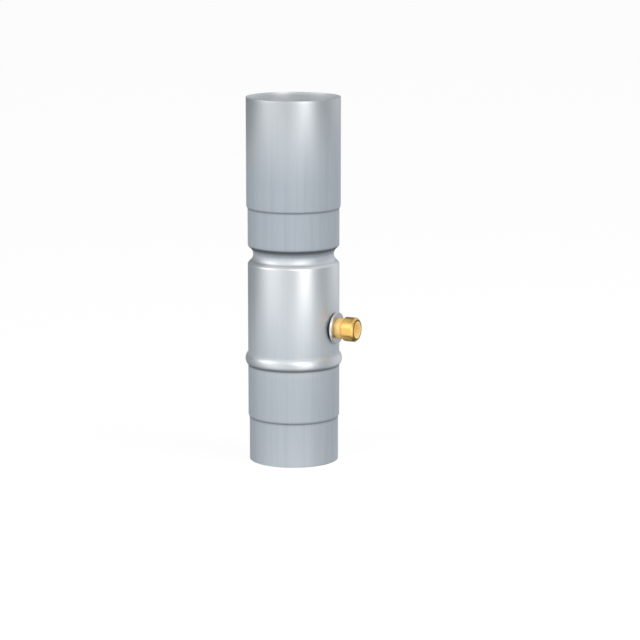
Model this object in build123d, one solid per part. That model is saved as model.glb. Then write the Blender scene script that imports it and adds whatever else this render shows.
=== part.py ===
from build123d import *
import math
import os

# Rainwater diverter for a 100 mm downpipe, in millimetres.
# Origin: on the pipe's axis, at the lower end of the spigot. +Z up, +X along the side outlet.

# Sheet metal and the pipe it is rolled from
sheet = 0.7                  # wall of the rolled zinc sheet, here and in the downpipe
body_radius = 50.0           # outside of the collector housing and of the downpipe
total_height = 400.0

# Lower spigot, drawn in to enter the downpipe below
spigot_fit = 0.6             # around the spigot, inside the downpipe
spigot_radius = body_radius - sheet - spigot_fit
spigot_length = 47.6

# Upper socket, expanded to take the downpipe above
socket_fit = 0.7             # around the downpipe, inside the socket
socket_radius = body_radius + socket_fit + sheet
socket_length = 118.6

# Height over which the spigot and the socket run into the housing
step_rise = 2.6

# Bead that stands out of the wall and grips the edge of the channel floor
bead_height = 113.0
bead_depth = 3.05
bead_width = 14.2

# Waist that stands into the pipe and throws the water film off the wall, between 45 degree flanks
waist_height = 228.5
waist_depth = 5.95
waist_bend = 9.3

# Overflow tube: a flat floor for the ring channel and the standpipe that is its inner wall
channel_width = 11.3         # from the standpipe to the wall
overflow_radius = body_radius - sheet - channel_width
overflow_top = 205.0
floor_fit = 0.05             # between the floor's edge and the hollow of the bead

# Outlet: everything here is turned about the outlet's own axis
outlet_height = 150.0
gasket_thickness = 0.9       # at its thinnest, where the wall comes nearest to the washer
gasket_radius = 15.7
washer_thickness = 2.7
washer_radius = 17.2
washer_face = body_radius + gasket_thickness + washer_thickness
stem_radius = 10.3
stem_clearance = 0.1         # around the stem, in the washer, gasket and nut
hole_clearance = 0.3         # around the stem, in the housing's wall
bore_radius = 9.0
neck_radius = 11.15
neck_length = 6.5
relief_depth = 0.8
relief_width = 1.1
stub_radius = 13.22          # crest of a 3/4 inch pipe thread
stub_length = 15.5
stub_slope = 2.0             # length of the slope from the relief up to the stub
stub_chamfer = 2.1

# Lock nut on the stem, in the ring channel
nut_across_flats = 26.0
nut_thickness = 4.5
nut_fit = 0.05               # between the nut's upright flats and the hollow of the wall
stem_projection = 0.6        # stem end past the nut


def sheet_tube(outer_side):
    """Sheet turned about the pipe's axis. The line gives its outer side in radius and height, upwards."""
    section = offset(outer_side, amount=sheet, side=Side.LEFT, closed=True, kind=Kind.INTERSECTION)
    return revolve(Plane.XZ * make_face(section), Axis.Z)


def outlet_rod(radius, start, end):
    """A round rod on the outlet's axis, between two distances from the pipe's axis."""
    rod = Cylinder(radius, end - start, align=(Align.CENTER, Align.CENTER, Align.MIN))
    return Pos(start, 0, outlet_height) * Rot(0, 90, 0) * rod


def stem_hole(clearance):
    """What a piece on the stem loses for it."""
    return outlet_rod(stem_radius + clearance, 0, 2 * body_radius)


def collector_housing():
    """One rolled tube: spigot, bead, waist and socket, with the hole for the outlet's stem."""
    bead = ThreePointArc(
        (body_radius, bead_height - bead_width / 2),
        (body_radius + bead_depth, bead_height),
        (body_radius, bead_height + bead_width / 2),
    )
    flank = waist_depth + waist_bend * (math.sqrt(2) - 1)
    waist = FilletPolyline(
        (body_radius, waist_height - flank),
        (body_radius - flank, waist_height),
        (body_radius, waist_height + flank),
        radius=waist_bend,
    )
    lower_end = Polyline(
        (spigot_radius, 0),
        (spigot_radius, spigot_length),
        (body_radius, spigot_length + step_rise),
        bead @ 0,
    )
    socket_start = total_height - socket_length
    upper_end = Polyline(
        waist @ 1,
        (body_radius, socket_start - step_rise),
        (socket_radius, socket_start),
        (socket_radius, total_height),
    )
    outer_side = lower_end + bead + Line(bead @ 1, waist @ 0) + waist + upper_end
    return sheet_tube(outer_side) - stem_hole(hole_clearance)


def overflow_tube():
    """The channel's flat floor, its edge caught in the bead, and the standpipe on its inner edge."""
    edge = body_radius + bead_depth - sheet - floor_fit
    floor_top = bead_height + sheet / 2
    floor = [(edge, floor_top), (overflow_radius, floor_top)]
    return sheet_tube(Polyline(*floor, (overflow_radius, overflow_top)))


def nut_face():
    """Distance of the nut's clamping face from the pipe's axis, where its upright flats meet the wall."""
    return math.sqrt((body_radius - sheet) ** 2 - (nut_across_flats / 2) ** 2) - nut_fit


def outlet_nipple():
    """Turned brass: a stem through the wall, a neck, a thread relief and the stub for the union nut."""
    start = nut_face() - nut_thickness - stem_projection
    relief = washer_face + neck_length
    relief_radius = neck_radius - relief_depth
    slope = relief + relief_width
    end = slope + stub_length
    outline = [
        (start, bore_radius),
        (end, bore_radius),
        (end, stub_radius - stub_chamfer),
        (end - stub_chamfer, stub_radius),
        (slope + stub_slope, stub_radius),
        (slope, relief_radius),
        (relief, relief_radius),
        (relief, neck_radius),
        (washer_face, neck_radius),
        (washer_face, stem_radius),
        (start, stem_radius),
    ]
    section = make_face(Polyline(*outline, close=True))
    return Pos(0, 0, outlet_height) * revolve(Plane.XZ * section, Axis.X)


def outlet_washer():
    """Plated steel washer under the neck's shoulder."""
    ring = outlet_rod(washer_radius, washer_face - washer_thickness, washer_face)
    return ring - stem_hole(stem_clearance)


def outlet_gasket():
    """Rubber between the flat washer and the round wall, so its back is a saddle."""
    pad = outlet_rod(gasket_radius, body_radius / 2, washer_face - washer_thickness)
    pipe = Cylinder(body_radius, total_height, align=(Align.CENTER, Align.CENTER, Align.MIN))
    return pad - pipe - stem_hole(stem_clearance)


def lock_nut():
    """Thin hexagon nut, one corner up, so that two upright flats bear on the hollow of the wall."""
    corner = nut_across_flats / math.sqrt(3)
    hexagon = extrude(RegularPolygon(corner, 6), -nut_thickness)
    return Pos(nut_face(), 0, outlet_height) * Rot(0, 90, 0) * hexagon - stem_hole(stem_clearance)


def main():
    os.makedirs("parts", exist_ok=True)
    pieces = {
        "collector_housing": collector_housing(),
        "overflow_tube": overflow_tube(),
        "outlet_nipple": outlet_nipple(),
        "outlet_washer": outlet_washer(),
        "outlet_gasket": outlet_gasket(),
        "lock_nut": lock_nut(),
    }
    for name, piece in pieces.items():
        export_step(piece, f"parts/{name}.step")


main()
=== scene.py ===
# %% [markdown]
# A rainwater diverter: a zinc tube that is fitted into a downpipe, with a brass hose outlet on its side.
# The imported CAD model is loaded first, as a frame of solids at their real size. Every surface that this
# lesson makes replaces one of those solids in the same place, with finer bends and a real finish.

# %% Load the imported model
import math

import bpy
import numpy as np
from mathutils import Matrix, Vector


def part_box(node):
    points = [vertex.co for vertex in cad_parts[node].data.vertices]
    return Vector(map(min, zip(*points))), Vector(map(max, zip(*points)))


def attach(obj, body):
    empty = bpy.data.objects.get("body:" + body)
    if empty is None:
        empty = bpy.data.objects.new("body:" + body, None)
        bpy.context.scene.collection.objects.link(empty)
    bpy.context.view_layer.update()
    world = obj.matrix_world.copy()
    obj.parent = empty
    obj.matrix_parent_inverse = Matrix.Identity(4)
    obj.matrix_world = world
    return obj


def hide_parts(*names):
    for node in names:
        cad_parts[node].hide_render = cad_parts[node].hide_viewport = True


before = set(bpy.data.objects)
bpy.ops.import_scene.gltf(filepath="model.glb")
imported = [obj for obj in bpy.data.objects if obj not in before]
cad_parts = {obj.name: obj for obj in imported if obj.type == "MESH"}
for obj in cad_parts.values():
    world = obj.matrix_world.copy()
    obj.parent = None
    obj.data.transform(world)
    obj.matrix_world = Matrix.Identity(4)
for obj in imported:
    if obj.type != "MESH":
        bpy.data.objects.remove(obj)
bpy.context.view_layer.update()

# %% [markdown]
# The lesson works in millimetres, as a workshop drawing does, and each mesh is turned into metres when it
# is made. These are the sizes that several pieces share.

# %% Sizes that the pieces share, in millimetres
MM = 0.001
SHEET = 0.7
BODY_RADIUS = 50.0
TOTAL_HEIGHT = 400.0
OUTLET_HEIGHT = 150.0
STEM_RADIUS = 10.3
STEM_CLEARANCE = 0.1
BORE_RADIUS = 9.0


def low_corner(node):
    """Lowest corner of a CAD node, in millimetres."""
    return np.array(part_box(node)[0]) / MM


def high_corner(node):
    """Highest corner of a CAD node, in millimetres."""
    return np.array(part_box(node)[1]) / MM


print("outlet nipple from", low_corner("outlet_nipple").round(2), "to", high_corner("outlet_nipple").round(2))

# %% [markdown]
# Nearly every piece here was rolled, pressed or turned, so its form is one outline carried round an axis.
# An outline is drawn as a workshop draws it: corners, and a bend radius at each of them. The helper below
# cuts each corner back to its two tangent points and puts an arc between them.

# %% Outlines with round bends
# An arc has at least its two ends and its middle
ARC_POINTS = 3


def bent_line(corners, bends, run_step=4.0, turn_step=math.radians(6)):
    """Points along straight runs joined by tangent arcs.

    An arc of radius r that turns by an angle a starts r tan(a/2) before its corner, and its centre lies r
    to the side that the line turns to. Its points are that centre plus r times a direction that sweeps by a.
    """
    corners = np.array(corners, float)
    runs = np.diff(corners, axis=0)
    runs /= np.linalg.norm(runs, axis=1)[:, None]
    stretches = [corners[:1]]
    for corner, bend, before, after in zip(corners[1:-1], bends, runs, runs[1:]):
        turn = math.atan2(before[0] * after[1] - before[1] * after[0], before @ after)
        start = corner - before * bend * math.tan(abs(turn) / 2)
        side = math.copysign(1, turn) * np.array([-before[1], before[0]])
        sweep = np.linspace(0, turn, max(ARC_POINTS, math.ceil(abs(turn) / turn_step) + 1))[:, None]
        spoke = -side * np.cos(sweep) + before * np.sin(np.abs(sweep))
        stretches.append(start + bend * (side + spoke))
    stretches.append(corners[-1:])
    pieces = []
    for stretch, following in zip(stretches, stretches[1:]):
        pieces.append(stretch)
        gap = following[0] - stretch[-1]
        count = math.ceil(np.linalg.norm(gap) / run_step)
        share = np.arange(1, count)[:, None] / max(count, 1)
        pieces.append(stretch[-1] + gap * share)
    pieces.append(stretches[-1])
    return np.concatenate(pieces)


print("a right angle with a 2 mm bend has", len(bent_line([(0, 0), (10, 0), (10, 10)], [2])), "points")

# %% [markdown]
# Sheet metal has the same thickness everywhere, so only the outer side of its section is drawn. The inner
# side follows from it, and a small round breaks each corner of a cut end, as filing does.

# %% The section of a bent sheet
ROUND_POINTS = 5


def sheet_loop(outer, thickness=SHEET, edge=0.15):
    """Closed section of a bent sheet: up its outer side, and down its inner side.

    The inner side is the outer one moved to the left of its direction by the thickness. At each cut end two
    quarter rounds of radius edge break the corners.
    """
    run = np.gradient(outer, axis=0)
    run /= np.linalg.norm(run, axis=1)[:, None]
    left = np.stack([-run[:, 1], run[:, 0]], axis=1)
    inner = outer + left * thickness
    turn = np.linspace(0, math.pi / 2, ROUND_POINTS)[:, None]
    across = edge * (1 - np.cos(turn))
    along = edge * (np.sin(turn) - 1)

    def cut_end(point, out, side):
        """The two rounds across the sheet's end at a point, which faces out."""
        near = point + side * across + out * along
        far = point + side * (thickness - across) + out * along
        return np.concatenate([near, far[::-1]])

    top = cut_end(outer[-1], run[-1], left[-1])
    bottom = cut_end(outer[0], -run[0], left[0])
    return np.concatenate([outer[1:-1], top, inner[-2:0:-1], bottom[::-1]])


print("a strip with two straight sides has", len(sheet_loop(bent_line([(0, 0), (0, 8)], []))), "points")

# %% [markdown]
# A closed section carried once round an axis is a grid of points that closes in both directions, like a
# ring. The whole grid is worked out as one array, and so are its faces. The section runs anticlockwise, as
# seen with the axis upwards on its left, which makes every face point outwards.

# %% Grids that close both ways
# An edge that turns by more than this stays sharp
SMOOTH_UP_TO = math.radians(35)


def ring_faces(section, around):
    """Corner numbers of each face of a grid: the point, the next around, and both of these a row up."""
    index = np.arange(section * around).reshape(section, around)
    turned = np.roll(index, -1, axis=1)
    return np.stack([index, turned, np.roll(turned, -1, axis=0), np.roll(index, -1, axis=0)], axis=-1)


def surface(name, points, faces, crease=SMOOTH_UP_TO):
    """A piece of points in millimetres and faces of four, smooth but for edges that turn by the crease."""
    mesh = bpy.data.meshes.new(name)
    mesh.from_pydata(points.reshape(-1, 3) * MM, [], faces.reshape(-1, 4).tolist())
    mesh.shade_smooth()
    mesh.set_sharp_from_angle(angle=crease)
    piece = bpy.data.objects.new(name, mesh)
    bpy.context.scene.collection.objects.link(piece)
    return piece


def ring_piece(name, grid, crease=SMOOTH_UP_TO):
    """A piece from a grid of shape (section, around, 3)."""
    return surface(name, grid, ring_faces(*grid.shape[:2]), crease)


print("a section of 4 points carried round in 6 steps has", ring_faces(4, 6).size // 4, "faces")

# %% [markdown]
# Two axes matter here. The pipe's parts are turned about Z. The outlet's parts are turned about a line along
# X at the outlet's height, and the same function does that once the three coordinates trade places.

# %% Round the pipe and round the outlet
def around_pipe(section, count=240):
    """A section of (radius, height) points turned about the pipe: x and y are radius times cos and sin."""
    angle = np.linspace(0, 2 * math.pi, count, endpoint=False)
    radius, height = section[:, :1], section[:, 1:]
    return np.stack([radius * np.cos(angle), radius * np.sin(angle), height + 0 * angle], axis=-1)


def around_outlet(section, count=180):
    """A section of (radius, distance along +X) points turned about the outlet's axis."""
    y, z, x = np.moveaxis(around_pipe(section, count), -1, 0)
    return np.stack([x, y, z + OUTLET_HEIGHT], axis=-1)


def stand_in(piece, node):
    """Lets a piece take the place of a CAD node, on the part's only body."""
    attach(piece, "root")
    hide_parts(node)
    size = (high_corner(node) - low_corner(node)).round(1)
    print(piece.name, "has", len(piece.data.polygons), "faces and replaces", node, "of", size, "mm")


print("the packed model has the nodes", ", ".join(sorted(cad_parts)))

# %% [markdown]
# The housing is one zinc tube. A swaging tool draws its lower end in, so that it enters the pipe below, and
# opens its upper end, so that the pipe above enters it. A bead stands out where the floor of the ring
# channel is held, and a waist stands in above it and throws the water film off the wall. The sheet has the
# same thickness all the way, so only the outer side is drawn.

# %% The housing's outline
SPIGOT_RADIUS = 48.7
SPIGOT_LENGTH = 47.6
SOCKET_RADIUS = 51.4
SOCKET_LENGTH = 118.6
STEP_RISE = 2.6
STEP_ROOT = 0.4
STEP_SHOULDER = 5.0
BEAD_HEIGHT = 113.0
BEAD_DEPTH = high_corner("collector_housing")[1] - BODY_RADIUS
BEAD_BEND = 9.2
BEAD_FLANK = math.radians(46.5)
BEAD_ROOT = 0.5
WAIST_HEIGHT = 228.5
WAIST_DEPTH = 5.95
WAIST_BEND = 9.3
WAIST_FLANK = math.radians(45)
WAIST_SHOULDER = 3.5


def swage(height, depth, bend, flank):
    """Three corners of a ring pressed out of the wall, or into it if depth is negative.

    Between two flanks the bend's crown lies bend (1/cos(flank) - 1) short of the middle corner.
    """
    reach = abs(depth) + bend * (1 / math.cos(flank) - 1)
    half = reach / math.tan(flank)
    crest = BODY_RADIUS + math.copysign(reach, depth)
    return [(BODY_RADIUS, height - half), (crest, height), (BODY_RADIUS, height + half)]


socket_start = TOTAL_HEIGHT - SOCKET_LENGTH
housing_corners = [
    (SPIGOT_RADIUS, 0),
    (SPIGOT_RADIUS, SPIGOT_LENGTH),
    (BODY_RADIUS, SPIGOT_LENGTH + STEP_RISE),
    *swage(BEAD_HEIGHT, BEAD_DEPTH, BEAD_BEND, BEAD_FLANK),
    *swage(WAIST_HEIGHT, -WAIST_DEPTH, WAIST_BEND, WAIST_FLANK),
    (BODY_RADIUS, socket_start - STEP_RISE),
    (SOCKET_RADIUS, socket_start),
    (SOCKET_RADIUS, TOTAL_HEIGHT),
]
housing_bends = [
    STEP_ROOT, STEP_SHOULDER,
    BEAD_ROOT, BEAD_BEND, BEAD_ROOT,
    WAIST_SHOULDER, WAIST_BEND, WAIST_SHOULDER,
    STEP_ROOT, STEP_SHOULDER,
]
print("the housing's outline has", len(housing_corners), "corners and", len(housing_bends), "bends")

# %% [markdown]
# The edge of the roller that presses the waist leaves a fine crease where the waist meets the wall below it.
# It could be a shading trick, but a real groove in the outline catches the light from every side.

# %% The crease under the waist
CREASE_HEIGHT = 221.2
CREASE_DEPTH = 0.14
CREASE_WIDTH = 0.5


def creased(outline, height, depth, width):
    """An outline with a fine groove: the radius less the depth times a bell curve of the height."""
    bell = np.exp(-((outline[:, 1] - height) / width) ** 2)
    return outline - np.stack([depth * bell, 0 * bell], axis=-1)


housing_outline = bent_line(housing_corners, housing_bends, turn_step=math.radians(5))
housing_outline = creased(housing_outline, CREASE_HEIGHT, CREASE_DEPTH, CREASE_WIDTH)
housing_section = sheet_loop(housing_outline)
print("the housing's section has", len(housing_section), "points")

# %% [markdown]
# The outlet's stem passes through a round hole in the wall. A drill would leave ragged faces in the grid, so
# the hole is made the way a tailor sets in a sleeve: a window of whole cells is left out of both skins, and
# a collar of its own rows leads from the window's square edge to the round hole. A last strip joins the two
# skins through the hole. All of it hides under the gasket.

# %% A collar between a window and a hole
COLLAR_ROWS = 6


def window_edge(block):
    """Corner numbers round a block of the grid: along a row, up the last column, and back the other way."""
    return np.concatenate([block[0, :-1], block[:-1, -1], block[-1, :0:-1], block[:0:-1, 0]])


def collar_points(edge, hole):
    """Rows of points from a window's edge to a round hole, on a wall that is round about the pipe's axis.

    In y and z, each point lies a share of the way from the edge to the hole's rim at the same angle about
    the outlet. Its x is the square root of the wall's radius squared less y squared.
    """
    share = np.linspace(0, 1, COLLAR_ROWS + 1)[1:, None]
    wall = np.hypot(edge[0, 0], edge[0, 1])
    angle = np.arctan2(edge[:, 2] - OUTLET_HEIGHT, edge[:, 1])
    y = edge[:, 1] * (1 - share) + hole * np.cos(angle) * share
    z = edge[:, 2] * (1 - share) + (OUTLET_HEIGHT + hole * np.sin(angle)) * share
    return np.stack([np.sqrt(wall ** 2 - y ** 2), y, z], axis=-1)


def strip_faces(first, second):
    """Faces between two closed rows of corner numbers, or between several such pairs."""
    return np.stack([first, np.roll(first, -1, axis=-1), np.roll(second, -1, axis=-1), second], axis=-1)


print("a collar has", COLLAR_ROWS, "rows of points")

# %% [markdown]
# The same window is left out of the outer and the inner skin. Each gets a collar, and the last rows of both
# collars are joined. The points that no face uses any more are dropped, and the others are numbered again.

# %% The housing with its hole
HOLE_CLEARANCE = 0.3
WINDOW_REACH = 14.0


def with_outlet_hole(section, grid, hole):
    """Points and faces of the tube's grid, with a window in each skin and a collar in each window."""
    count = grid.shape[1]
    index = np.arange(grid.shape[0] * count).reshape(-1, count)
    reach = round(WINDOW_REACH / (2 * math.pi * BODY_RADIUS / count))
    columns = np.arange(-reach, reach + 1)
    near = np.abs(section[:, 1] - OUTLET_HEIGHT) < WINDOW_REACH
    kept = np.ones(grid.shape[:2], bool)
    points = [grid.reshape(-1, 3)]
    faces = []
    rims = []
    for wall in (BODY_RADIUS, BODY_RADIUS - SHEET):
        rows = np.flatnonzero(near & np.isclose(section[:, 0], wall))
        kept[rows[0]:rows[-1], columns[:-1]] = False
        edge = window_edge(index[rows[0]:rows[-1] + 1, columns])
        collar = collar_points(points[0][edge], hole)
        first = sum(len(part) for part in points)
        numbers = np.vstack([edge, first + np.arange(COLLAR_ROWS * len(edge)).reshape(COLLAR_ROWS, -1)])
        faces += [strip_faces(row, following) for row, following in zip(numbers, numbers[1:])]
        points.append(collar.reshape(-1, 3))
        rim = collar[-1]
        rims.append(numbers[-1][np.argsort(np.arctan2(rim[:, 2] - OUTLET_HEIGHT, rim[:, 1]))])
    faces.append(strip_faces(rims[0], rims[1]))
    faces = np.concatenate([ring_faces(*grid.shape[:2])[kept], *faces])
    used, numbers = np.unique(faces, return_inverse=True)
    return np.concatenate(points)[used], numbers.reshape(-1, 4)


housing_grid = around_pipe(housing_section)
housing_faces = with_outlet_hole(housing_section, housing_grid, STEM_RADIUS + HOLE_CLEARANCE)
housing = surface("zinc_housing", *housing_faces)
stand_in(housing, "collector_housing")

# %% [markdown]
# Inside the housing, a flat ring is the floor of the channel that catches the water, and a standpipe on its
# inner edge lets the overflow fall on down the pipe. Both are one drawn piece of the same sheet.

# %% The overflow tube
OVERFLOW_RADIUS = 38.0
OVERFLOW_TOP = 205.0
FLOOR_FIT = 0.05
FLOOR_BEND = 1.2

floor_edge = BODY_RADIUS + BEAD_DEPTH - SHEET - FLOOR_FIT
floor_top = BEAD_HEIGHT + SHEET / 2
overflow_corners = [(floor_edge, floor_top), (OVERFLOW_RADIUS, floor_top), (OVERFLOW_RADIUS, OVERFLOW_TOP)]
overflow_section = sheet_loop(bent_line(overflow_corners, [FLOOR_BEND]))
overflow = ring_piece("zinc_overflow_tube", around_pipe(overflow_section))
stand_in(overflow, "overflow_tube")

# %% [markdown]
# The outlet is turned from brass bar: a stem that passes through the wall, a neck, a relief where the
# threading tool runs out, and the stub that takes the hose's union nut. A lathe leaves every edge slightly
# broken, and those small rounds are what catches the light.

# %% The brass nipple
WASHER_THICKNESS = 2.7
WASHER_FACE = high_corner("outlet_washer")[0]
NECK_RADIUS = 11.15
NECK_LENGTH = 6.5
RELIEF_DEPTH = 0.8
RELIEF_WIDTH = 1.1
STUB_RADIUS = 13.22
STUB_SLOPE = 2.0
STUB_CHAMFER = 2.1

stem_start = low_corner("outlet_nipple")[0]
stub_end = high_corner("outlet_nipple")[0]
relief = WASHER_FACE + NECK_LENGTH
slope = relief + RELIEF_WIDTH
bore_middle = (BORE_RADIUS, relief)
nipple_corners = [
    bore_middle,
    (BORE_RADIUS, stem_start),
    (STEM_RADIUS, stem_start),
    (STEM_RADIUS, WASHER_FACE),
    (NECK_RADIUS, WASHER_FACE),
    (NECK_RADIUS, relief),
    (NECK_RADIUS - RELIEF_DEPTH, relief),
    (NECK_RADIUS - RELIEF_DEPTH, slope),
    (STUB_RADIUS, slope + STUB_SLOPE),
    (STUB_RADIUS, stub_end - STUB_CHAMFER),
    (STUB_RADIUS - STUB_CHAMFER, stub_end),
    (BORE_RADIUS, stub_end),
    bore_middle,
]
# The bends at the stem's end, the washer, the neck, the relief, the stub and its mouth
nipple_bends = [0.3, 0.3, 0.1, 0.2, 0.3, 0.2, 0.2, 0.5, 0.5, 0.45, 0.45]
nipple_section = bent_line(nipple_corners, nipple_bends, run_step=1.0, turn_step=math.radians(12))[:-1]
nipple = ring_piece("brass_nipple", around_outlet(nipple_section))
stand_in(nipple, "outlet_nipple")

# %% [markdown]
# The washer is stamped from steel and plated. Stamping rounds its edges, so its rim shows a soft bright line.
# Its section is a rectangle with four bends, which starts in the middle of the hole's side, where no bend is.

# %% The plated washer
WASHER_RADIUS = 17.2
WASHER_EDGE = 0.6
WASHER_HOLE_EDGE = 0.15


def flat_ring(inner, outer, back, front, inner_edge, outer_edge):
    """Closed section of a flat ring on the outlet's axis, with its inner and outer edges rounded."""
    middle = (back + front) / 2
    corners = [(inner, middle), (inner, back), (outer, back), (outer, front), (inner, front), (inner, middle)]
    bends = [inner_edge, outer_edge, outer_edge, inner_edge]
    return bent_line(corners, bends, run_step=0.8, turn_step=math.radians(15))[:-1]


washer_hole = STEM_RADIUS + STEM_CLEARANCE
washer_back = WASHER_FACE - WASHER_THICKNESS
washer_sides = (washer_hole, WASHER_RADIUS, washer_back, WASHER_FACE)
washer_section = flat_ring(*washer_sides, WASHER_HOLE_EDGE, WASHER_EDGE)
washer = ring_piece("steel_washer", around_outlet(washer_section))
stand_in(washer, "outlet_washer")

# %% [markdown]
# The gasket is a rubber pad that is flat towards the washer and hollow towards the round pipe. Its front lies
# in a plane. Its back lies on the pipe, where x is the square root of the pipe's radius squared less y
# squared. Each point of the pad is a share of the way from the front to the back.

# %% The rubber gasket
GASKET_RADIUS = 15.7
GASKET_ROUND = 0.3
DEPTH_POINTS = 9
FACE_POINTS = 7


def saddle_pad(inner, outer, front, rounding, count=180):
    """Grid of the pad: up its outer side, over the front, down the hole, and back along the saddle.

    The outer side's radius falls off by rounding times the sixth power of the distance from its middle.
    """
    share = np.linspace(1, 0, DEPTH_POINTS)
    rim = outer - rounding * (2 * share - 1) ** 6
    face = np.linspace(outer - rounding, inner, FACE_POINTS)[1:-1]
    hole = np.full_like(share, inner)
    radius = np.concatenate([rim, face, hole, face[::-1]])[:, None]
    depth = np.concatenate([share, 0 * face, share[::-1], 1 + 0 * face])[:, None]
    angle = np.linspace(0, 2 * math.pi, count, endpoint=False)
    y = radius * np.cos(angle)
    z = radius * np.sin(angle)
    back = np.sqrt(BODY_RADIUS ** 2 - y ** 2)
    return np.stack([front + (back - front) * depth, y, z + OUTLET_HEIGHT], axis=-1)


gasket_grid = saddle_pad(washer_hole, GASKET_RADIUS, washer_back, GASKET_ROUND)
gasket = ring_piece("rubber_gasket", gasket_grid)
stand_in(gasket, "outlet_gasket")

# %% [markdown]
# A thin lock nut holds the outlet from inside the channel. Its hexagon is a radius that depends on the angle,
# and the chamfer on its free face is a cone: each point takes the smaller of the two radii.

# %% The lock nut
NUT_ACROSS_FLATS = 26.0
NUT_CHAMFER = math.radians(60)
NUT_CHAMFER_START = 0.96
NUT_CHAMFER_REACH = 2.0
NUT_CHAMFER_ROWS = 17
NUT_CREASE = math.radians(20)


def chamfered_hexagon(bore, across_flats, free_face, clamping_face, count=144):
    """Grid of a nut: up its outer side and back down its hole.

    The hexagon's radius is its half width over the cosine of the angle from a flat. The cone's radius grows
    with the distance from the free face.
    """
    angle = np.linspace(0, 2 * math.pi, count, endpoint=False)
    from_flat = (angle + math.pi / 6) % (math.pi / 3) - math.pi / 6
    hexagon = across_flats / 2 / np.cos(from_flat)
    near = np.linspace(0, NUT_CHAMFER_REACH, NUT_CHAMFER_ROWS)
    depth = np.concatenate([near, [clamping_face - free_face]])[:, None]
    cone = across_flats / 2 * NUT_CHAMFER_START + depth * math.tan(NUT_CHAMFER)
    side = np.minimum(hexagon, cone)
    hole_depth = depth[[-1, NUT_CHAMFER_ROWS // 2, 0]]
    hole = np.full((len(hole_depth), count), bore)
    radius = np.concatenate([side, hole])
    x = free_face + np.concatenate([depth, hole_depth]) + 0 * radius
    return np.stack([x, radius * np.cos(angle), radius * np.sin(angle) + OUTLET_HEIGHT], axis=-1)


nut_faces = low_corner("lock_nut")[0], high_corner("lock_nut")[0]
nut_grid = chamfered_hexagon(washer_hole, NUT_ACROSS_FLATS, *nut_faces)
nut = ring_piece("brass_lock_nut", nut_grid, NUT_CREASE)
stand_in(nut, "lock_nut")

# %% [markdown]
# A colour ramp is the shader's table: it reads a number from nought to one and gives the colour between the
# two stops about it. A new ramp has two stops, so more are made before all of them are set.

# %% Stops of a colour ramp
def set_stops(ramp, stops):
    """Gives a colour ramp its stops, from pairs of a position and a colour."""
    while len(ramp.elements) < len(stops):
        ramp.elements.new(1)
    for element, (position, colour) in zip(ramp.elements, stops):
        element.position = position
        element.color = colour


print("ramps are tables from nought to one")

# %% [markdown]
# Finishes are small graphs of shader nodes. Arithmetic on a socket is written as ordinary Python: the class
# below wraps an output socket, and each operator adds one Math node. Every other node comes from add(). It
# sets what a node is before it fills the node's sockets, because a setting can change which sockets count.

# %% Shader arithmetic
class Wire:
    """An output socket in a node tree, or the tree alone, from which more nodes are added."""

    def __init__(self, tree, socket=None):
        self.tree = tree
        self.socket = socket

    def add(self, kind, settings, values, output=0):
        """Adds a node: its own settings, then values or wires for its sockets. Wraps one of its outputs."""
        node = self.tree.nodes.new(kind)
        for name, setting in settings.items():
            if name == "stops":
                set_stops(node.color_ramp, setting)
            elif name == "interpolation":
                node.color_ramp.interpolation = setting
            else:
                setattr(node, name, setting)
        for name, value in values.items():
            if isinstance(value, Wire):
                self.tree.links.new(value.socket, node.inputs[name])
            else:
                node.inputs[name].default_value = value
        return Wire(self.tree, node.outputs[output] if node.outputs else None)

    def sibling(self, output):
        """Another output of the same node."""
        return Wire(self.tree, self.socket.node.outputs[output])

    def calc(self, operation, *numbers):
        """A Math node on these numbers or wires."""
        return self.add("ShaderNodeMath", {"operation": operation}, dict(enumerate(numbers)))

    def vector(self, operation, *vectors, output="Vector"):
        """A Vector Math node on these vectors or wires."""
        return self.add("ShaderNodeVectorMath", {"operation": operation}, dict(enumerate(vectors)), output)

    def __add__(self, other):
        return self.calc("ADD", self, other)

    def __sub__(self, other):
        return self.calc("SUBTRACT", self, other)

    def __rsub__(self, other):
        return self.calc("SUBTRACT", other, self)

    def __mul__(self, other):
        return self.calc("MULTIPLY", self, other)

    def __truediv__(self, other):
        return self.calc("DIVIDE", self, other)

    def __rtruediv__(self, other):
        return self.calc("DIVIDE", other, self)

    def __pow__(self, other):
        return self.calc("POWER", self, other)

    __radd__ = __add__
    __rmul__ = __mul__


print("a wire takes the operators + - * / and **")

# %% [markdown]
# Every finish begins with an empty graph and the Object coordinates, which say where a point lies on its
# piece, so that a mark keeps its real size. It ends in one surface, of which the colour, the share of metal,
# the roughness and the normal can all change from place to place.

# %% How a finish begins and ends
def new_finish(name):
    """A new material, and a wire in its empty node tree."""
    material = bpy.data.materials.new(name)
    material.use_nodes = True
    material.node_tree.nodes.clear()
    return material, Wire(material.node_tree)


def object_place(start):
    """The Object coordinates: where a point lies on its piece, in metres."""
    return start.add("ShaderNodeTexCoord", {}, {}, "Object")


def show(shader, kind="ShaderNodeOutputMaterial"):
    """Connects a shader to the output of its material or world."""
    shader.add(kind, {}, {"Surface": shader})


def show_surface(colour, metallic, rough, normal):
    """Connects a surface of this colour, share of metal, roughness and normal to its material's output."""
    values = {"Base Color": colour, "Metallic": metallic, "Roughness": rough, "Normal": normal}
    show(colour.add("ShaderNodeBsdfPrincipled", {}, values))


def count_nodes(material):
    """Prints how many nodes a finish has taken."""
    print(material.name, "is a graph of", len(material.node_tree.nodes), "nodes")


print("finishes are placed by Object coordinates, in metres")

# %% [markdown]
# Several finishes share a few steps: noise that is stretched along an axis, a mix of two colours, a smooth
# step between two values, and a bump that tips the surface's normal. Each of them becomes a short function,
# so that a finish reads as a list of what is seen on the real metal.

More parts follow.
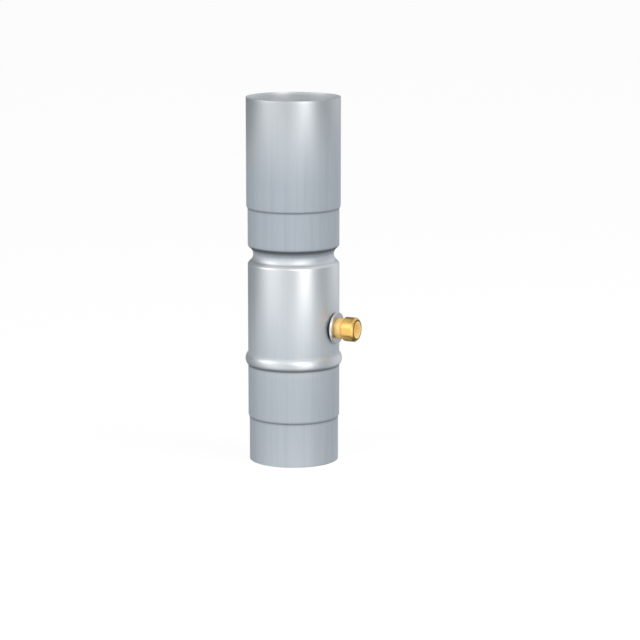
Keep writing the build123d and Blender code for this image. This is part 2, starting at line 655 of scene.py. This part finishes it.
# %% Steps that the finishes share
# Sockets of a Mix node that mixes colours: how much, the first colour, the second, and the result
MIX_AMOUNT, MIX_FIRST, MIX_SECOND, MIX_RESULT = 0, 6, 7, 2
# Noise lies about this value
NOISE_MIDDLE = 0.5


def axes(place, names):
    """The numbers of a vector along the named axes."""
    split = place.add("ShaderNodeSeparateXYZ", {}, {"Vector": place})
    return [split.sibling(name) for name in names]


def stretched_noise(place, scale, detail=3.0):
    """Noise whose number of features in a metre is given for each of the three axes."""
    stretched = place.add("ShaderNodeMapping", {}, {"Vector": place, "Scale": scale})
    return place.add("ShaderNodeTexNoise", {}, {"Vector": stretched, "Scale": 1.0, "Detail": detail})


def tint(amount, first, second):
    """A mix of two colours, each a wire or three numbers, by an amount from nought to one."""
    first, second = (colour if isinstance(colour, Wire) else (*colour, 1) for colour in (first, second))
    values = {MIX_AMOUNT: amount, MIX_FIRST: first, MIX_SECOND: second}
    return amount.add("ShaderNodeMix", {"data_type": "RGBA"}, values, MIX_RESULT)


def step_down(value, start, end):
    """One up to a start, nought from an end, and a smooth step between them."""
    settings = {"interpolation_type": "SMOOTHSTEP"}
    values = {"Value": value, "From Min": start, "From Max": end, "To Min": 1.0, "To Max": 0.0}
    return value.add("ShaderNodeMapRange", settings, values)


def fade(length, start, end):
    """A smooth step from one to nought between two lengths in millimetres."""
    return step_down(length, start * MM, end * MM)


def bumped(height, strength, depth):
    """The surface's normal, tipped by a height from nought to one that stands for a depth in millimetres."""
    return height.add("ShaderNodeBump", {}, {"Strength": strength, "Distance": depth * MM, "Height": height})


print("a mix of colours has sockets", MIX_AMOUNT, MIX_FIRST, MIX_SECOND, "and gives its output", MIX_RESULT)

# %% [markdown]
# Rolled zinc is drawn through rolls along its length, which leaves fine marks that run up the pipe. They are
# noise that is squeezed round the pipe and stretched a hundred times along it. Beside the socket, the waist
# and the bead the sheet is glossier, and there it is also painted brighter, as painted light and highlights,
# which fade away along the pipe. The pressed corners are painted darker, as painted shade, and the sheet is
# painted darker towards the rim. Both depend on the height only, so each is a table that a colour ramp
# reads.

# %% How the zinc changes along the pipe
# Height in millimetres, and how glossy the sheet is there, which also paints light into its colour
GLOSS_AND_PAINTED_LIGHT = [
    (0, 0.20), (30, 0.12), (60, 0.08), (98, 0.12), (106, 0.25), (110, 0.8), (117, 0.9), (121, 0.30),
    (160, 0.58), (190, 0.85), (215, 1.0), (222, 1.0), (228, 0.45), (231, 0.0), (280, 0.0), (310, 0.04),
    (340, 0.26), (370, 0.58), (400, 0.84),
]
# Height in millimetres, and how much the outside is painted darker there: painted shade in the pressed
# corners, and a darkening towards the rim
PAINTED_DARKENING = [
    (0, 0), (46.6, 0), (47.6, 0.5), (48.8, 0.5), (50.2, 0),
    (104.4, 0), (105.8, 0.65), (107.2, 0.65), (109, 0),
    (220.3, 0), (220.9, 0.7), (221.5, 0.7), (222.1, 0), (229, 0), (233, 0.3), (235.5, 0.9), (238, 0.9),
    (239.3, 0), (278, 0), (278.8, 0.5), (279.8, 0.5), (281.2, 0),
    (310, 0.02), (340, 0.08), (370, 0.17), (400, 0.22),
]


def height_ramp(height, levels):
    """A number that depends on the height only, from pairs of a height and the number there."""
    stops = [(level / TOTAL_HEIGHT, (share, share, share, 1)) for level, share in levels]
    ramp = height.add("ShaderNodeValToRGB", {"stops": stops}, {"Fac": height})
    return height.add("ShaderNodeSeparateColor", {}, {"Color": ramp})


print("the ramps along the pipe have", len(GLOSS_AND_PAINTED_LIGHT), "and", len(PAINTED_DARKENING), "stops")

# %% [markdown]
# The finish takes the ramps and three layers of noise: fine marks, broad marks, and clouds where the sheet
# has aged unevenly. The inside takes neither the glossy roughness nor the painted darkening, and has its own
# roughness. It is told from the outside by its normal, which points towards the pipe's axis there.

# %% Brushed zinc
# The second colour below is painted light: it stands for the highlights and light bands along the pipe.
ZINC_DULL = (0.44, 0.50, 0.555)
ZINC_PAINTED_HIGHLIGHT = (0.86, 0.87, 0.875)
# The next colour is painted shade in the pressed corners, and darkens the sheet towards the rim.
ZINC_DARKENED = (0.16, 0.175, 0.19)
# Features in a metre, in x, y and along the pipe
FINE_MARKS = (1700, 1700, 14)
BROAD_MARKS = (190, 190, 2.5)
CLOUDS = (14, 14, 9)
FINE_SHARE, BROAD_SHARE, CLOUD_SHARE = 0.55, 0.30, 0.15
DULL_SHADE, HIGHLIGHT_SHADE = 0.32, 0.82
DULL_CONTRAST, GLOSSY_CONTRAST = 0.75, 0.45
DULL_ROUGH, GLOSSY_ROUGH, INSIDE_ROUGH = 0.80, 0.32, 0.36
MARK_ROUGH = 0.12
GLOSS_FLATTENS = 0.7
INSIDE_OXIDE = 0.25
# Dot products of a surface's normal with the direction away from the pipe: inside, and no longer inside
FACING_IN, FACING_EDGE = -0.5, -0.2


def brushed_zinc():
    """Zinc whose marks fade and whose gloss and painted light grow along the glossy bands.

    Its brightness is a mix of the dull colour and the painted highlight colour by the ramp of gloss and
    painted light, plus the marks times their contrast. Its roughness is mixed in the same way.
    """
    material, start = new_finish("brushed_zinc")
    place = object_place(start)
    height = axes(place, "Z")[0] / (TOTAL_HEIGHT * MM)
    normal = start.add("ShaderNodeNewGeometry", {}, {}, "Normal")
    outward = place.vector("MULTIPLY", place, (1, 1, 0))
    outward = outward.vector("NORMALIZE", outward)
    inside = step_down(normal.vector("DOT_PRODUCT", normal, outward, output="Value"), FACING_IN, FACING_EDGE)
    # Painted light: a brighter colour along the glossy bands, together with their gloss.
    gloss_and_light = height_ramp(height, GLOSS_AND_PAINTED_LIGHT)
    # Painted shade in the pressed corners, and a darkening towards the rim.
    painted_darkening = height_ramp(height, PAINTED_DARKENING) * (1 - inside)
    fine = stretched_noise(place, FINE_MARKS)
    broad = stretched_noise(place, BROAD_MARKS, detail=2.0)
    cloud = stretched_noise(place, CLOUDS, detail=2.0)
    marks = fine * FINE_SHARE + broad * BROAD_SHARE + cloud * CLOUD_SHARE - NOISE_MIDDLE
    contrast = DULL_CONTRAST - gloss_and_light * (DULL_CONTRAST - GLOSSY_CONTRAST)
    shade = gloss_and_light * (HIGHLIGHT_SHADE - DULL_SHADE) + marks * contrast + DULL_SHADE
    colour = tint(painted_darkening, tint(shade, ZINC_DULL, ZINC_PAINTED_HIGHLIGHT), ZINC_DARKENED)
    glossy_outside = gloss_and_light * (1 - inside)
    smoother = glossy_outside * (DULL_ROUGH - GLOSSY_ROUGH) + inside * (DULL_ROUGH - INSIDE_ROUGH)
    rough = (fine - NOISE_MIDDLE) * MARK_ROUGH - smoother + DULL_ROUGH
    relief = fine * (1 - gloss_and_light * GLOSS_FLATTENS)
    show_surface(colour, 1 - inside * INSIDE_OXIDE, rough, bumped(relief, strength=0.12, depth=0.2))
    return material


zinc = brushed_zinc()
count_nodes(zinc)

# %% [markdown]
# Brass off the lathe has marks that run round it, so here the noise is fine along the outlet's axis only.
# The bore is only drilled, so it is dull. The end face is painted dark brown, a painted dark reflection. The
# neck is painted paler, as painted light, and it is less metallic and rougher than the stub.

# %% Turned brass
BRASS_DEEP = (0.94, 0.52, 0.14)
BRASS_PALE = (1.0, 0.67, 0.21)
# The next two colours are painted light on the neck and a painted dark reflection on the end face.
BRASS_NECK_LIGHT = (1.0, 0.72, 0.30)
BRASS_END_REFLECTION = (0.22, 0.12, 0.035)
BRASS_BORE = (1.0, 0.78, 0.36)
# Features in a metre along the outlet, in y and in z
LATHE_RINGS = (2600, 30, 30)
STAINS = (120, 120, 120)
LEAST_PALE, RING_PALE, STAIN_PALE = 0.15, 0.30, 0.40
NECK_LIGHTENING = 0.75
# The bar's roughness, and what the rings, the bore, the end and the neck add to it
BAR_ROUGH, RING_ROUGH, BORE_ROUGH, END_ROUGH, NECK_ROUGH = 0.17, 0.10, 0.35, 0.20, 0.25
BORE_OXIDE, NECK_OXIDE = 0.85, 0.35
# Millimetres over which the bore's mask and the end's mask fade, from the bore's wall and the stub's end
BORE_FADE = (0.1, 0.4)
END_FADE = (0.3, 0.1)


def turned_brass():
    """Brass with rings round the outlet's axis, and masks for its bore, its end face and its neck.

    With the coordinates moved to the outlet's axis, the distance from it is the square root of y squared
    plus z squared.
    """
    material, start = new_finish("lathe_brass")
    place = object_place(start)
    centred = start.add("ShaderNodeMapping", {}, {"Vector": place, "Location": (0, 0, -OUTLET_HEIGHT * MM)})
    x, y, z = axes(centred, "XYZ")
    in_bore = fade((y * y + z * z) ** 0.5, BORE_RADIUS + BORE_FADE[0], BORE_RADIUS + BORE_FADE[1])
    on_end = (1 - fade(x, stub_end - END_FADE[0], stub_end - END_FADE[1])) * (1 - in_bore)
    on_neck = fade(x, slope, slope + STUB_SLOPE) * (1 - in_bore)
    rings = stretched_noise(place, LATHE_RINGS)
    stain = stretched_noise(place, STAINS)
    colour = tint(rings * RING_PALE + stain * STAIN_PALE + LEAST_PALE, BRASS_DEEP, BRASS_PALE)
    # Painted light on the neck, and a painted dark reflection on the end face.
    colour = tint(on_neck * NECK_LIGHTENING, colour, BRASS_NECK_LIGHT)
    colour = tint(on_end, colour, BRASS_END_REFLECTION)
    colour = tint(in_bore, colour, BRASS_BORE)
    rough = rings * RING_ROUGH + in_bore * BORE_ROUGH + on_end * END_ROUGH + on_neck * NECK_ROUGH + BAR_ROUGH
    metallic = 1 - in_bore * BORE_OXIDE - on_neck * NECK_OXIDE
    show_surface(colour, metallic, rough, bumped(rings, strength=0.05, depth=0.1))
    return material


brass = turned_brass()
count_nodes(brass)

# %% [markdown]
# The washer's plating is smooth and slightly cloudy. Its face is painted darker grey, as painted shade, and
# only the rim keeps the plating's colour.

# %% Plated steel
PLATING_GREY = (0.72, 0.73, 0.75)
PLATING_BRIGHT = (0.92, 0.92, 0.92)
# The next colour is painted shade on the washer's face.
PLATING_FACE_SHADE = (0.48, 0.48, 0.49)
PLATING_CLOUDS = (260, 260, 260)
PLATING_GRAIN = (1800, 1800, 1800)
PLATING_ROUGH, GRAIN_ROUGH = 0.2, 0.1
# Millimetres behind the face at which the painted shade begins and is full
FACE_SHADE_FADE = (0.1, 0.02)


def plated_steel():
    """Cloudy plating, painted darker, as painted shade, where x reaches the washer's face."""
    material, start = new_finish("plated_steel")
    place = object_place(start)
    cloud = stretched_noise(place, PLATING_CLOUDS)
    grain = stretched_noise(place, PLATING_GRAIN)
    # Painted shade on the washer's face.
    face_shade = 1 - fade(axes(place, "X")[0], WASHER_FACE - FACE_SHADE_FADE[0], WASHER_FACE - FACE_SHADE_FADE[1])
    colour = tint(face_shade, tint(cloud, PLATING_GREY, PLATING_BRIGHT), PLATING_FACE_SHADE)
    show_surface(colour, 1.0, grain * GRAIN_ROUGH + PLATING_ROUGH, bumped(grain, strength=0.08, depth=0.1))
    return material


plated = plated_steel()
count_nodes(plated)

# %% [markdown]
# The rubber is matte, nearly black and finely grained, as it comes out of a blasted mould.

# %% Black rubber
RUBBER_BLACK = (0.006, 0.006, 0.007)
RUBBER_GREY = (0.018, 0.018, 0.020)
RUBBER_GRAIN = (1400, 1400, 1400)
RUBBER_ROUGH, POCK_ROUGH = 0.6, 0.2


def black_rubber():
    """Rubber whose grain changes its colour, its roughness and its normal together."""
    material, start = new_finish("moulded_rubber")
    grain = stretched_noise(object_place(start), RUBBER_GRAIN)
    colour = tint(grain, RUBBER_BLACK, RUBBER_GREY)
    show_surface(colour, 0.0, grain * POCK_ROUGH + RUBBER_ROUGH, bumped(grain, strength=0.2, depth=0.1))
    return material


rubber = black_rubber()
count_nodes(rubber)

# %% [markdown]
# Pieces of the same material share one finish, because it depends on where a point lies and not on the piece.
# So the housing and the overflow tube are both zinc, and the nipple and its lock nut are both brass.

# %% Each piece gets its finish
for piece, material in (
    (housing, zinc), (overflow, zinc), (nipple, brass), (nut, brass), (washer, plated), (gasket, rubber),
):
    piece.data.materials.clear()
    piece.data.materials.append(material)
    print(piece.name, "is finished in", material.name)

# %% [markdown]
# The camera stands where the photograph was taken from: nearly three metres away, higher than the pipe, and
# turned so that the outlet points to the right and slightly towards it. It looks slightly past the pipe,
# which puts the pipe left of the picture's centre.

# %% The camera
CAMERA_TURN = math.radians(26)
CAMERA_DISTANCE = 2800.0
CAMERA_HEIGHT = 690.0
AIM_RIGHT = 28.8
AIM_HEIGHT = 154.6
LENS = 146.3
SENSOR_WIDTH = 36

right = np.array([math.cos(CAMERA_TURN), math.sin(CAMERA_TURN), 0])
back = np.array([math.sin(CAMERA_TURN), -math.cos(CAMERA_TURN), 0])
up = np.array([0, 0, 1])
camera_place = back * CAMERA_DISTANCE + up * CAMERA_HEIGHT
aim = right * AIM_RIGHT + up * AIM_HEIGHT


def look(thing, place, target):
    """Puts a camera or lamp at a place, in millimetres, and turns it towards a target."""
    thing.location = Vector(place) * MM
    thing.rotation_euler = (Vector(target) - Vector(place)).to_track_quat("-Z", "Y").to_euler()


camera_data = bpy.data.cameras.new("camera")
camera_data.lens = LENS
camera_data.sensor_width = SENSOR_WIDTH
camera = bpy.data.objects.new("camera", camera_data)
bpy.context.scene.collection.objects.link(camera)
look(camera, camera_place, aim)
bpy.context.scene.camera = camera
print("camera at", camera_place.round(1), "mm")

# %% [markdown]
# The floor is plain and white. A share of its brightness is its own, for rays that come from the camera or
# that metal reflects, so the background is white with no more light on the pipe, and the rest is lit and
# keeps the shadow.

# %% The floor
FLOOR_SIZE = 30.0
FLOOR_WHITE = (0.9, 0.9, 0.9, 1)
OWN_SHARE = 0.94
WHITE = (1, 1, 1, 1)


def seen_directly(start):
    """One for rays from the camera and for rays that metal or glass sends on, and nought for all others."""
    ray = start.add("ShaderNodeLightPath", {}, {}, "Is Camera Ray")
    total = ray + ray.sibling("Is Glossy Ray") + ray.sibling("Is Transmission Ray")
    return total.calc("MINIMUM", total, 1.0)


def white_floor():
    """A mix of lit white and the floor's own white, by the kind of ray."""
    material, start = new_finish("white_floor")
    lit = start.add("ShaderNodeBsdfDiffuse", {}, {"Color": FLOOR_WHITE})
    own = start.add("ShaderNodeEmission", {}, {"Color": WHITE, "Strength": 1.0})
    show(start.add("ShaderNodeMixShader", {}, {0: seen_directly(start) * OWN_SHARE, 1: lit, 2: own}))
    return material


half = FLOOR_SIZE / 2
floor_corners = [(-half, -half, 0), (half, -half, 0), (half, half, 0), (-half, half, 0)]
floor_mesh = bpy.data.meshes.new("floor")
floor_mesh.from_pydata(floor_corners, [], [(0, 1, 2, 3)])
floor = bpy.data.objects.new("floor", floor_mesh)
bpy.context.scene.collection.objects.link(floor)
floor.data.materials.append(white_floor())
floor.visible_glossy = False
print("the floor is", FLOOR_SIZE, "m wide")

# %% [markdown]
# The world does the same. It is white where it is seen directly, and dimmer as a light, so that it fills the
# shadows and doesn't wash them out.

# %% The world
WORLD_LEVEL = 0.55

world = bpy.data.worlds.new("world")
bpy.context.scene.world = world
world.use_nodes = True
world.node_tree.nodes.clear()
sky = Wire(world.node_tree)
sky_level = seen_directly(sky) * (1 - WORLD_LEVEL) + WORLD_LEVEL
show(sky.add("ShaderNodeBackground", {}, {"Color": WHITE, "Strength": sky_level}), "ShaderNodeOutputWorld")
print("the world lights the object at", WORLD_LEVEL)

# %% [markdown]
# Bright metal is a picture of what stands round it. In a studio that is a tent of cloth with lamps behind
# it: bright in places, grey in others, dark behind the object, and the changes between them draw the soft
# bands on the pipe. This tent is a dome that only reflections see. A ramp gives its brightness by direction
# round the pipe. Spots add the light from above, the dark from below, and three small lamps that put the
# bright glints on the waist, the bead and the rim.

# %% The tent's cloth
TENT_SCALE = 2.0
# Direction in degrees from the camera's, positive to the right, and the brightness of the tent there
TENT_PANELS = [
    (-180, 0.20), (-160, 0.30), (-140, 0.34), (-117, 0.34), (-92, 0.52), (-71, 1.00), (-53, 1.08),
    (-37, 0.96), (-20, 0.82), (-4, 0.74), (9, 0.78), (22, 1.48), (38, 1.48), (49, 0.72), (60, 0.46),
    (82, 0.44), (105, 0.64), (130, 0.84), (150, 0.72), (168, 0.36), (180, 0.20),
]
# The cloth's colour, and the brightness from which it turns to white
TENT_COOL = (0.93, 0.985, 1.03)
COOL_UP_TO = 0.4
# Where a spot lies (right, away, up), the degrees from there up to which it is full, where it ends, and its
# brightness
TENT_SPOTS = [
    ((0.0, -0.31, 0.95), 28, 60, 0.90),
    ((0.0, 0.17, -0.98), 30, 62, 0.10),
    ((-0.83, -0.28, 0.52), 11, 27, 1.80),
    ((0.25, -0.78, 0.58), 10, 25, 1.95),
    ((0.46, -0.87, 0.18), 4, 12, 3.0),
]


def panel_colour(level):
    """The cool colour of the cloth mixed with white by how far the brightness is above a start."""
    white = min(1.0, max(0.0, level - COOL_UP_TO))
    return (*[(channel + (1 - channel) * white) * level / TENT_SCALE for channel in TENT_COOL], 1)


def tent_cloth():
    """Cloth that shines by its direction round the pipe, and by its angle from each spot.

    The direction is the arc tangent of how far right over how far towards the camera, as a share of a full
    turn. The dot product with a spot's direction is the cosine of the angle from it.
    """
    material, start = new_finish("tent_cloth")
    place = object_place(start)
    turned = start.add("ShaderNodeMapping", {}, {"Vector": place, "Rotation": (0, 0, -CAMERA_TURN)})
    ray = turned.vector("NORMALIZE", turned)
    x, y = axes(ray, "XY")
    direction = x.calc("ARCTAN2", x, y * -1) / (2 * math.pi) + 0.5
    stops = [(angle / 360 + 0.5, panel_colour(level)) for angle, level in TENT_PANELS]
    cloth = start.add("ShaderNodeValToRGB", {"stops": stops, "interpolation": "B_SPLINE"}, {"Fac": direction})
    for towards, full, end, level in TENT_SPOTS:
        near = ray.vector("DOT_PRODUCT", ray, Vector(towards).normalized(), output="Value")
        share = 1 - step_down(near, math.cos(math.radians(end)), math.cos(math.radians(full)))
        cloth = tint(share, cloth, [level / TENT_SCALE] * 3)
    show(start.add("ShaderNodeEmission", {}, {"Color": cloth, "Strength": TENT_SCALE}))
    return material


print("the tent has", len(TENT_PANELS), "panels and", len(TENT_SPOTS), "spots")

# %% [markdown]
# The cloth covers a dome round the pipe, so far away that a reflection depends on its direction only. All
# other rays pass through the dome, as if it weren't there.

# %% The tent's dome
TENT_RADIUS = 3000.0
TENT_RINGS = 24
TENT_AROUND = 48


def dome(radius, rings, around):
    """Points and faces of a ball about the outlet's height.

    z follows the sine of the latitude, and x and y its cosine. A pole closes each end with triangles.
    """
    latitude = np.linspace(-math.pi / 2, math.pi / 2, rings + 1)[1:-1]
    section = np.stack([radius * np.cos(latitude), radius * np.sin(latitude) + OUTLET_HEIGHT], axis=-1)
    poles = [(0, 0, OUTLET_HEIGHT - radius), (0, 0, OUTLET_HEIGHT + radius)]
    points = np.concatenate([around_pipe(section, around).reshape(-1, 3), poles])
    index = np.arange(len(latitude) * around).reshape(-1, around)
    bands = strip_faces(index[:-1], index[1:]).reshape(-1, 4)
    ends = index[[0, -1]]
    pole = np.broadcast_to([[index.size], [index.size + 1]], ends.shape)
    caps = np.stack([ends, np.roll(ends, -1, axis=-1), pole], axis=-1).reshape(-1, 3)
    return points, bands.tolist() + caps.tolist()


tent_points, tent_faces = dome(TENT_RADIUS, TENT_RINGS, TENT_AROUND)
tent_mesh = bpy.data.meshes.new("tent")
tent_mesh.from_pydata(tent_points * MM, [], tent_faces)
tent_mesh.materials.append(tent_cloth())
tent = bpy.data.objects.new("tent", tent_mesh)
bpy.context.scene.collection.objects.link(tent)
for rays in ("camera", "diffuse", "transmission", "shadow", "volume_scatter"):
    setattr(tent, f"visible_{rays}", False)
print("the tent's dome has", len(tent_faces), "faces")

# %% [markdown]
# Two soft lamps light what isn't metal, the rubber and the floor, and put the pipe's soft shadow on it.

# %% Lamps
def soft_lamp(name, side, ahead, height, size, power):
    """A square area lamp, at a place given to the right of the pipe, towards the camera, and up."""
    data = bpy.data.lights.new(name, "AREA")
    data.size = size * MM
    data.energy = power
    lamp = bpy.data.objects.new(name, data)
    bpy.context.scene.collection.objects.link(lamp)
    look(lamp, right * side + back * ahead + up * height, up * OUTLET_HEIGHT)
    lamp.visible_camera = False
    lamp.visible_glossy = False
    print(name, "has", power, "watts")


soft_lamp("key_lamp", side=-1400, ahead=1500, height=2200, size=1600, power=40)
soft_lamp("fill_lamp", side=1800, ahead=900, height=1700, size=1600, power=50)

# %% [markdown]
# Colours are shown as they are written, with no film look.

# %% Colour
bpy.context.scene.view_settings.view_transform = "Standard"
